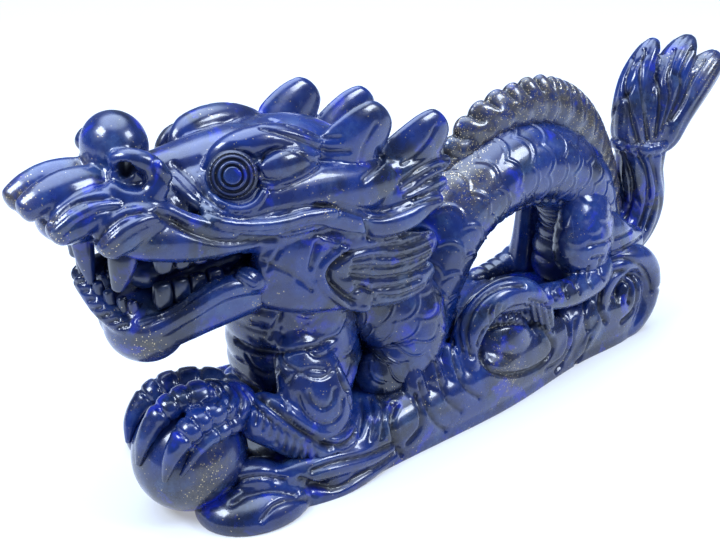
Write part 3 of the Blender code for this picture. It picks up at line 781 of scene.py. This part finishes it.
def makeChest():
    v = chestValues
    forms = [
        lobe(neckPath, [9, 11, 12, 12.6, 10], [10, 11, 11.8, 12, 9], relief=scaledSkin(v), net=(260, 150),
             even=True),
        lobe([(-25, -4, 30), (-29, -11.2, 22), (-28.2, -14, 15), (-26.5, -14.6, 10)],
             [3, 4.4, 4.8, 4], [4, 6, 6.4, 4.6], net=(60, 60)),
        lobe([(-22, -14.8, 6.5), (-29, -15.4, 8.6), (-36.5, -13.6, 14), (-42, -11, 17.5)],
             [4, 4.6, 4.6, 4.6], [4.4, 4.8, 4.6, 4.2], net=(60, 60)),
        lobe([(-18, 9.5, 27), (-17.5, 12.6, 20.5), (-16, 14, 13), (-14, 14.4, 7)],
             [3, 3.6, 4, 3.6], [4.6, 6, 6, 4.6], net=(60, 60)),
        lobe([(-14, 14.4, 6), (-21, 15, 6.8), (-28, 14, 6.4), (-34, 12, 5.4)],
             [4.4, 4.4, 4.2, 3.8], [4.2, 4.2, 3.8, 3], relief=bands(2.6, 0.45), net=(110, 60), even=True),
    ]
    for spread in (7.4, 10.6, 13.8):
        forms.append(lobe([(-32, spread + 0.5, 5.6), (-37, spread, 6.6), (-40.4, spread - 0.4, 4.8),
                           (-41.4, spread - 0.6, 2.4)], [2, 1.9, 1.7, 0.8],
                          relief=bands(2.6, 0.35), net=(60, 36), even=True))
    chest = fuseAs("chestAndForelegs", forms, v)
    carve(chest, chestCuts)
    finishPiece(chest, nearSpots([((-40, -12, 14), 4)]))


chestCuts = [
    (0.8, -0.8, [(236, 340), (247, 347), (262, 351), (280, 352), (302, 348), (318, 345), (335, 338)]),
    (0.6, -0.5, [(282, 302), (280, 316), (273, 329), (270, 338)]),
    # leaf of the shoulder
    (1, -1.1, [(338, 367), (345, 385), (356, 398), (360, 418), (355, 436), (342, 446), (327, 444)]),
    (0.6, -0.5, [(285, 400), (291, 415), (305, 431), (327, 438), (345, 431), (353, 415), (349, 398)],
     [(298, 396), (303, 410), (314, 421), (329, 424), (341, 415), (343, 398)],
     [(309, 392), (313, 402), (323, 408), (332, 403), (335, 390)],
     [(288, 384), (296, 374), (310, 369), (326, 370)], [(302, 373), (313, 377), (324, 377), (332, 371)],
     [(280, 353), (285, 364), (297, 370)], [(307, 348), (315, 356), (327, 354), (335, 348)],
     [(246, 356), (254, 368), (266, 374), (278, 370)]),
    (1.2, -1.4, [(236, 376), (255, 391), (276, 407), (295, 424), (316, 440), (330, 448)]),
    # crescents over the forearm
    (0.6, -0.6, [(238, 392), (247, 402), (247, 416)], [(246, 397), (256, 408), (255, 423)],
     [(255, 404), (264, 415), (263, 430)], [(262, 411), (272, 423), (270, 437)],
     [(270, 418), (279, 430), (276, 445)], [(279, 424), (287, 436), (283, 452)],
     [(287, 430), (295, 441), (290, 457)], [(296, 436), (302, 446), (298, 460)],
     [(305, 441), (309, 450), (306, 462)], [(314, 446), (317, 454), (315, 462)]),
    (0.9, -1, [(264, 455), (280, 464), (300, 465), (320, 462), (338, 456)]),
]


# Arch of the body, scaled over the back

archPath = [(-9, 0, 10), (1.4, 0, 15.4), (5.4, 0, 26.6), (13, 0, 38.3), (25, 0, 43.8), (37.5, 0, 43.4),
            (47.8, 0, 38), (52.6, 0, 28.5), (52, 0, 17), (58, 0, 10)]
archValues = {
    "wide": [12, 11.5, 10.8, 10.4, 9.8, 9.4, 9, 8.8, 9, 6],
    "deep": [9, 8.4, 8.2, 8.8, 9.2, 9, 8.6, 8.6, 8.6, 6],
    "radius": 9.6,
    "pitch": 4,
    "count": 9,
    "size": 5.2,
    "height": 0.5,
    "edgeCut": 0.4,
    "bellyHalf": 0.75,
    "platePitch": 3.4,
    "seamCut": 0.6,
}


def makeArch():
    v = archValues
    arch = lobe(archPath, v["wide"], v["deep"], relief=scaledSkin(v), net=(420, 170), even=True)
    finishPiece(joinAs("archedBody", [arch]), nearSpots([((12, -6, 46), 9)]))


# Back fin: one thin crest, its rim notched and its faces fluted

finRim = [(3.5, 34), (6.4, 40.5), (9.6, 46.5), (12.8, 52.2), (17, 57.2), (22.6, 60.2),
          (28.8, 61.4), (35.6, 62.2), (41, 61), (46.4, 58.8), (51.6, 55), (56.2, 49.8),
          (60.4, 43.6), (63.2, 38), (65.9, 31.4), (67.8, 25)]
finRoot = [(4, 30), (7, 36), (11, 41), (15.6, 45.6), (20, 49), (25.4, 51.4),
           (31.5, 52.6), (36, 52.6), (40, 52), (44.5, 50), (49, 46.6), (53, 42.6),
           (56, 37.6), (58.5, 32.6), (60, 28), (60.7, 22)]
finValues = {"sunk": 3, "thick": 3.2, "knob": 3.9, "notch": 2.4, "knobsTo": 0.52, "wave": 5,
             "brownReach": 12}


def finRelief(t, phi, s):  # knobs along the front half of the rim, small notches after them
    v = finValues
    up = np.clip(np.sin(phi), 0, 1)
    front = np.clip((v["knobsTo"] - t) / 0.02, 0, 1)
    knob = (np.sqrt(np.abs(np.sin(math.pi * (s / v["knob"] + 0.5 * up)))) - 1) * (0.5 + 1.1 * up ** 3)
    knob = knob * np.clip((up - 0.45) / 0.2, 0, 1)
    place = s / v["notch"] + 0.35 * up
    notch = -1.0 * np.exp(-((place - np.round(place)) / 0.09) ** 2) * np.clip((up - 0.72) / 0.12, 0, 1)
    wave = 0.2 * np.sin(2 * math.pi * s / v["wave"] + 3 * up)
    return front * knob + (1 - front) * notch + wave * (1 - up ** 4)


def makeFin():
    rim, root = np.array(finRim), np.array(finRoot)
    out = unit(rim - root)
    low = root - out * finValues["sunk"]
    middle = (rim + low) / 2
    half = np.linalg.norm(rim - low, axis=1) / 2
    path = [(x, 0, z) for x, z in middle]
    fin = lobe(path, [finValues["thick"]] * len(path), list(half), square=1.7, relief=finRelief,
               net=(420, 110), even=True)
    finishPiece(joinAs("backFin", [fin]), finTips)


def finTips(points):  # the brown skin left along the rim
    rim = np.array(finRim)
    gap = np.full(len(points), 1e9)
    for x, z in smoothRun(rim, np.linspace(0, 1, 90)):
        gap = np.minimum(gap, np.hypot(points[:, 0] - x, points[:, 2] - z))
    return np.clip(1.3 - gap / finValues["brownReach"], 0, 1)


# Front paw and the pearl it holds

pearlValues = {
    "centre": (-50, -6, 9.6),
    "radius": 10,
    "brownAt": [(200, 492, 4), (210, 476, 3.5), (218, 462, 3)],  # picture point and reach
}


def onPearlAt(px, py, lift):  # where the photograph's point falls on a ball a little larger than the pearl
    start, aim = sightLine(px, py)
    gap = np.array(pearlValues["centre"]) - start
    along = gap @ aim
    inside = (pearlValues["radius"] + lift) ** 2 - (gap @ gap - along ** 2)
    return tuple(start + aim * (along - math.sqrt(max(inside, 0))))


def makePearl():
    v = pearlValues
    pearl = joinAs("pearl", [pebble(v["centre"], (v["radius"],) * 3, net=(96, 120))])
    finishPiece(pearl, nearSpots([(onPearlAt(px, py, 0), reach) for px, py, reach in v["brownAt"]]))


pawValues = {"grain": 0.26, "polish": 1, "knuckle": 3, "knuckleCut": 0.55}
fingers = [  # picture point and lift over the pearl, wrist to claw
    [(240, 390, 2.6), (206, 380, 1.8), (170, 384, 1.6), (146, 398, 1.4), (132, 420, 0.8), (128, 444, 0.2)],
    [(240, 396, 2.6), (208, 393, 2.4), (180, 400, 2), (158, 417, 1.6), (144, 441, 1), (138, 466, 0.2)],
    [(244, 404, 2.2), (222, 408, 2.2), (200, 420, 2), (183, 438, 1.6), (171, 458, 0.9), (164, 482, 0.2)],
    [(252, 412, 1.2), (238, 420, 1.2), (220, 430, 1), (201, 446, 0.8), (180, 478, 0.2)],
]


def fingerRelief(t, phi, s):  # cuts across the knuckles, then a smooth claw
    place = s / pawValues["knuckle"]
    cuts = -pawValues["knuckleCut"] * np.exp(-((place - np.round(place)) / 0.09) ** 2)
    swell = 0.2 * np.abs(np.sin(math.pi * place))
    return (cuts + swell) * np.clip((0.66 - t) / 0.05, 0, 1)


def makePaw():
    forms = [pebble((-43.6, -8.2, 18.2), (5.2, 5.8, 3.6), net=(60, 60))]
    for finger in fingers:
        thin = 0.8 if len(finger) == 5 else 1.0
        wide = [thin * w for w in (2.4, 2.6, 2.5, 2.2, 1.6, 0.5)][-len(finger):]
        forms.append(lobe([onPearlAt(*spot) for spot in finger], wide, [0.85 * w for w in wide],
                          relief=fingerRelief, net=(150, 48), even=True))
    paw = fuseAs("frontPaw", forms, pawValues)
    carve(paw, pawCuts)
    finishPiece(paw)


pawCuts = [
    (0.6, -0.6, [(222, 382), (231, 395), (229, 410)], [(232, 384), (242, 398), (240, 414)],
     [(243, 388), (253, 402), (251, 418)], [(212, 384), (219, 394), (218, 404)]),
]


# Cloud base with its scrolls

cloudValues = {
    "grain": 0.46,
    "polish": 2,
    "folds": 4,
    "foldPitch": 4.6,
    "mounds": [  # picture points with their Y, then half widths and half depths
        ([(268, 482, -16), (300, 470, -17.5), (335, 462, -18.5), (370, 452, -18.5), (396, 440, -18)],
         [1.6, 2.6, 2.8, 2.4, 1.4], [1.8, 2.6, 2.8, 2.4, 1.4]),
        ([(300, 500, -18), (335, 487, -19), (366, 468, -19), (396, 450, -18)],
         [2.4, 2.6, 2.2, 1.4], [2.6, 3, 2.6, 1.6]),
        ([(232, 478, -13), (258, 474, -14.5), (290, 482, -16)], [2.4, 3.2, 2.4], [2.4, 3, 2.4]),
        ([(366, 408, -14), (372, 424, -15.4), (378, 444, -16.6)], [3.4, 4, 2.6], [3, 3.8, 2.6]),
        ([(284, 516, -16), (312, 504, -17), (342, 490, -17), (376, 474, -16.4)],
         [3.2, 3.2, 3.2, 2.6], [3.4, 3.4, 3.4, 2.8]),
    ],
}


def scroll(centre, radius, thick):  # a closed ring, upright
    turns = np.radians(np.linspace(0, 360, 13))
    path = [(centre[0] + radius * math.cos(a), centre[1], centre[2] + radius * math.sin(a)) for a in turns]
    return lobe(path, [thick] * 13, caps=(0.2, 0.2), net=(90, 28))


def makeClouds():
    v = cloudValues
    forms = [
        lobe([(-44, 0, 3), (-28, 0, 4), (-6, 0, 5), (16, 0, 6), (40, 0, 6), (58, 0, 5), (70, 0, 5)],
             [16.5, 20, 19.4, 18.2, 14.4, 13.2, 8.8], [4.5, 6, 8, 9, 8.5, 8, 7], square=3.4, net=(90, 64)),
        scroll((17.5, -13.2, 12.4), 11, 3.1),
        lobe([(x, 0, 0.5) for x in (-44, -28, -6, 16, 40, 58, 70)],
             [16.2, 19.8, 19.4, 18.2, 14.4, 13.2, 8.8], [3] * 7, square=3.4, net=(90, 64)),
        pebble((17.5, -13.2, 11), (7.8, 3.8, 7.2)),
        pebble((17.5, -10.2, 12), (11, 4, 11)),
        scroll((17.5, 13.2, 8.6), 8, 2.8),
        pebble((17.5, 12.6, 8.6), (7.8, 4.6, 7.2)),
    ]
    left = [
        pebble((-42, -13.6, 1.2), (11, 9, 5)),
        pebble((-25, -15.2, 1.5), (12, 6, 4.6)),
        pebble((-10.5, -14.4, 5.8), (4.4, 3.4, 5.4)),
        scroll((58.8, -9.8, 10), 9.2, 3.2),
        pebble((59.8, -9.8, 10), (5, 3.4, 4.8)),
        pebble((58.8, -7, 10), (9.4, 4, 9.4)),
        pebble((39, -10, 6), (9, 4.4, 8.4)),
    ]
    for k in range(v["folds"]):  # hanging folds
        x = -7.5 + v["foldPitch"] * k
        left.append(lobe([(x + 3.4, -14.6, 0), (x + 1.2, -15.2, 6), (x, -14.6, 12), (x + 0.4, -12.6, 17)],
                         [2.6, 2.9, 2.8, 1.8], [2.2, 2.6, 2.6, 1.6]))
    left += [
        lobe([(28, -13.4, 3), (35, -12.4, 7), (42, -11.4, 12)], [2.8, 3.2, 2.4], [3, 3.4, 2.6]),
        lobe([(38, -12.4, 2), (45, -11.6, 6), (50, -11, 11)], [2.6, 3, 2.2], [2.8, 3.2, 2.4]),
    ]
    left += [lobe([onSide(*spot) for spot in run], wide, deep) for run, wide, deep in v["mounds"]]
    base = fuseAs("cloudBase", forms + bothSides(left), v)
    bpy.ops.object.mode_set(mode="EDIT")
    bpy.ops.mesh.select_all(action="SELECT")
    bpy.ops.mesh.bisect(plane_co=(0, 0, 0), plane_no=(0, 0, 1), clear_inner=True, use_fill=True)
    bpy.ops.object.mode_set(mode="OBJECT")
    carve(base, cloudCuts, mirror=True)
    finishPiece(base, nearSpots([((15, -16, 8), 6)]))


cloudCuts = [
    # the oval ball in the big scroll, its fringe and the rings round it
    (1, -1.2, [(479, 344), (486, 330), (504, 323), (526, 323), (546, 331), (554, 346), (545, 362),
      (524, 373), (500, 374), (484, 362), (479, 346)]),
    (0.9, -0.9, [(472, 356), (466, 334), (472, 310), (486, 294), (504, 286), (524, 286)]),
    (0.7, -0.7, [(463, 352), (458, 330), (463, 304), (476, 286), (492, 278)]),
    (0.8, -0.8, [(530, 300), (550, 306), (566, 320), (570, 340), (562, 358), (546, 370)]),
    # the rear scroll, curled like a leaf
    (1, -1.2,
     [(606, 322), (600, 304), (604, 284), (616, 272), (630, 274), (638, 290), (634, 310), (622, 322)]),
    (0.8, -0.9, [(618, 302), (616, 288), (624, 280), (631, 288), (629, 302)]),
    (0.8, -0.8, [(588, 330), (584, 306), (590, 282), (604, 264), (624, 258), (642, 268), (652, 290)]),
    # the small upright leaf
    (0.6, -0.6, [(360, 400), (362, 416), (358, 436)], [(369, 398), (373, 416), (370, 440)],
     [(378, 396), (384, 414), (382, 438)]),
    # folds of the front mound
    (1, -1, [(313, 471), (330, 464), (347, 460), (362, 457), (378, 452), (395, 444)],
     [(300, 480), (324, 486), (340, 487), (360, 476), (382, 465), (398, 452)]),
    (0.8, -0.8, [(222, 490), (240, 480), (262, 476), (284, 480)],
     [(232, 504), (250, 494), (272, 490), (296, 494)]),
    (0.7, -0.7, [(262, 520), (274, 506), (290, 500), (308, 500)]),
    # folds down the side
    (0.9, -1, [(395, 405), (392, 420), (396, 440), (402, 454)],
     [(415, 396), (422, 412), (421, 428), (408, 444)]),
    (0.8, -0.8, [(420, 382), (426, 404), (437, 424), (446, 430)],
     [(436, 360), (442, 384), (450, 402), (462, 412)], [(452, 340), (456, 366), (466, 388), (480, 398)],
     [(556, 372), (566, 358), (574, 340), (576, 320)], [(576, 364), (586, 350), (592, 336)]),
]
for k in range(10):  # fringe over the oval ball
    line = [(492 + 6.2 * k, 306 - 0.25 * k), (490 + 6.6 * k, 314), (491 + 6.9 * k, 322 + 0.12 * k * k)]
    cloudCuts.append((0.5, -0.6, line))


# Scaled fold of the body between the chest and the arch

foldValues = {"radius": 7.4, "pitch": 3, "count": 8, "size": 3.9, "height": 0.5, "edgeCut": 0.4}


def makeFold():
    left = lobe([(-15, -5, 32), (-8.5, -8, 28), (-4.6, -9.6, 21), (-8, -9.6, 14), (-15, -8.4, 10)],
                [5, 5.6, 6, 5.6, 4.6], [7.5, 9, 8.6, 8, 6.5], relief=scaledSkin(foldValues), net=(190, 120),
                even=True)
    fold = joinAs("bodyFold", bothSides([left]))
    carve(fold, foldCuts, mirror=True)
    finishPiece(fold)


foldCuts = [
    (0.9, -0.8, [(362, 322), (368, 344), (370, 366), (364, 388)]),
    (0.6, -0.5, [(374, 328), (380, 346), (382, 366), (378, 386)], [(350, 322), (356, 340), (358, 360)]),
]


# Hind legs

legValues = {
    "grain": 0.38,
    "polish": 2,
    "radius": 6.4,
    "pitch": 2.7,
    "count": 7,
    "size": 3.4,
    "height": 0.5,
    "edgeCut": 0.4,
}


def makeHindLegs():
    v = legValues
    forms = [
        lobe([(49, -4.4, 37), (47, -7, 31), (45, -8.4, 25), (43.6, -9.2, 19)], [3.6, 4.6, 5, 3.6],
             [6, 7.4, 7.8, 5.4], relief=scaledSkin(v), net=(130, 120)),
        lobe([(46, -6.4, 31), (53, -7.4, 26), (60, -6.8, 21.5), (68, -4.4, 20)], [3, 3.6, 3.6, 3],
             [4.6, 5.4, 5, 4]),
        lobe([(48, 6, 40), (46.5, 8.2, 31), (46.5, 8.8, 22), (46, 9, 12)], [3, 3, 3.4, 4], [3.6, 3.6, 4, 5],
             relief=strands(10, 0.6, 2), net=(90, 90)),
        lobe([(52, -8, 20), (47, -10.6, 18.5), (41, -12.2, 17.8), (34, -13.2, 18.4), (26, -13.2, 20)],
             [3.6, 3.8, 3.4, 3.2, 2.8], [4, 3.8, 3.2, 3, 2.6]),
        lobe([(54, 8, 22), (50, 10, 18), (44, 11, 14.5), (37, 11, 13), (30, 10.6, 14)],
             [4.4, 4.4, 3.8, 3.6, 2.6], [4.6, 4.4, 3.8, 3.4, 2.4], relief=bands(2.8, 0.45), net=(110, 60),
             even=True),
        lobe([(28, -12, 19), (20, -11.8, 20.8), (13, -11.6, 21.4), (9, -11.4, 20)],
             [3, 3.4, 3.2, 1.8], [2.4, 2.6, 2.4, 1.4]),
    ]
    legs = fuseAs("hindLegs", forms, v)
    carve(legs, hindCuts)
    finishPiece(legs)


hindCuts = [
    # fingers of the paw
    (0.6, -0.7, [(482, 291), (498, 286), (516, 284), (530, 284)],
     [(484, 300), (500, 296), (518, 294), (532, 293)]),
    (0.6, -0.6, [(534, 278), (530, 290), (534, 302)]),
    # crescents up the shin
    (0.6, -0.6, [(545, 280), (541, 291), (545, 302)], [(556, 279), (552, 290), (556, 300)],
     [(567, 276), (563, 287), (568, 297)], [(578, 272), (575, 283), (580, 293)],
     [(589, 267), (587, 278), (592, 287)], [(600, 260), (599, 271), (604, 280)],
     [(588, 246), (604, 242), (622, 236), (638, 226)], [(592, 258), (610, 254), (628, 246), (642, 236)]),
]


# Tail and its flame of locks

tailValues = {"grain": 0.38, "polish": 1, "hairs": 10, "hairDepth": 0.5, "hairTwist": 1.6}


def makeTail():
    v = tailValues
    hair = strands(v["hairs"], v["hairDepth"], v["hairTwist"])
    lock = {"relief": hair, "net": (110, 100)}
    forms = [
        lobe([(52, 0, 21), (61, -0.4, 19.6), (69, -1, 21.5), (72.4, -1.4, 28), (70.8, -1.4, 36.5),
              (71.4, -1.6, 45)],
             [7.5, 6.8, 6.2, 5.8, 5.6, 5.8], [7.8, 6.8, 6.2, 6, 5.8, 6.2], relief=strands(12, 0.7, 9),
             net=(150, 120), even=True),
        lobe([(70.4, -1, 38), (68, 0, 46), (69.4, 1, 55), (73.4, 1.5, 61.4), (76.2, 2, 64.2)],
             [4.8, 4.6, 4.1, 3, 1.2], [4.3, 4.2, 3.8, 2.8, 1.2], **lock),
        lobe([(72, -2, 40), (73, -2, 49), (77.4, -2, 57), (82, -1.5, 62), (85, -1, 64.2)],
             [5, 5, 4.5, 3.4, 1.4], [4.6, 4.8, 4.2, 3.1, 1.2], **lock),
        lobe([(73.4, -3, 40), (77, -4, 48), (83, -4.6, 54.6), (87.6, -5, 58.4), (90.4, -5, 60)],
             [4.6, 4.8, 4.4, 3.4, 1.6], [4.2, 4.4, 4.2, 3.4, 1.8], **lock),
    ]
    tail = fuseAs("tailFlame", forms, v)
    carve(tail, tailCuts, mirror=True)
    finishPiece(tail, nearSpots([((85, -5, 55), 8), ((70, 0, 45), 8)]))


tailCuts = [
    (0.8, -0.9, [(632, 58), (624, 84), (630, 112), (638, 142)],
     [(662, 48), (656, 74), (660, 102), (656, 136)], [(692, 50), (682, 72), (680, 94), (668, 122)],
     [(622, 152), (630, 172), (632, 196), (622, 226)], [(636, 150), (646, 172), (648, 198), (638, 232)]),
    (0.7, -0.8, [(644, 50), (640, 78), (644, 108), (648, 140)],
     [(674, 50), (668, 74), (670, 98), (662, 130)], [(704, 60), (692, 80), (684, 100), (672, 120)],
     [(650, 156), (656, 178), (656, 202), (646, 228)]),
    (1.2, 0.5, [(616, 144), (632, 150), (650, 150), (664, 146)]),
]


for make in (makeHead, makeEyes, makeJaw, makeTeeth, makeChest, makeArch, makeFin, makePearl, makePaw,
             makeClouds, makeFold, makeHindLegs, makeTail):
    make()
for mesh in ballStock.values():
    bpy.data.meshes.remove(mesh)


# Floor and light

studio = {
    "floorSize": 3000.0,
    "floorGap": 0.05,
    "floorRoughness": 0.9,
    "floorColour": "#aeb2b8",
    "floorGlow": 0.34,  # keeps the far paper white
    "world": "#cfe2ff",
    "roomStrength": 0.24,
    "skyStrength": 6.6,
    "skyFrom": (0.10, 0.20, 0.975),
    "skyEdge": (0.76, 0.94),
    "lightColour": "#e2eeff",
    "lightAim": (0, 0, 30),
    "lights": [  # name, place, width, height, watts
        ("windowLeft", (-420, 60, 480), 260, 200, 4),
        ("softRight", (250, -330, 430), 220, 180, 2.6),
    ],
}


def makeStudio():
    bpy.ops.object.select_all(action="DESELECT")
    bpy.ops.mesh.primitive_plane_add(size=studio["floorSize"] * mm)
    floor = bpy.context.object
    floor.name = "paleFloor"
    floor.location = (0, 0, -studio["floorGap"] * mm)
    material = bpy.data.materials.new("paleFloorPaper")
    material.use_nodes = True
    shader = material.node_tree.nodes["Principled BSDF"]
    shader.inputs["Base Color"].default_value = linear(studio["floorColour"])
    shader.inputs["Roughness"].default_value = studio["floorRoughness"]
    shader.inputs["Emission Color"].default_value = linear("#ffffff")
    shader.inputs["Emission Strength"].default_value = studio["floorGlow"]
    floor.data.materials.append(material)
    world = bpy.data.worlds.new("paleRoom")
    bpy.context.scene.world = world
    world.use_nodes = True
    background = world.node_tree.nodes["Background"]
    background.inputs["Color"].default_value = linear(studio["world"])
    tree = world.node_tree
    direction = addNode(tree, "TexCoord", {}, "Generated")
    facing = {"operation": "DOT_PRODUCT", 0: direction, 1: studio["skyFrom"]}
    facing = addNode(tree, "VectorMath", facing, "Value")
    glow = addNode(tree, "MapRange", {
        "interpolation_type": "SMOOTHSTEP", "Value": facing,
        "From Min": studio["skyEdge"][0], "From Max": studio["skyEdge"][1],
        "To Min": studio["roomStrength"], "To Max": studio["skyStrength"]})
    tree.links.new(glow, background.inputs["Strength"])


def addLight(name, spot, width, height, watts):
    data = bpy.data.lights.new(name, "AREA")
    data.shape = "RECTANGLE"
    data.size = width * mm
    data.size_y = height * mm
    data.energy = watts
    data.color = linear(studio["lightColour"])[:3]
    light = bpy.data.objects.new(name, data)
    light.location = Vector(spot) * mm
    aim = Vector(studio["lightAim"]) - Vector(spot)
    light.rotation_euler = aim.to_track_quat("-Z", "Y").to_euler()
    bpy.context.scene.collection.objects.link(light)


makeStudio()
for row in studio["lights"]:
    addLight(*row)
print("floor and lights set")
bpy.context.scene.view_settings.view_transform = "Standard"

bpy.ops.object.select_all(action="DESELECT")
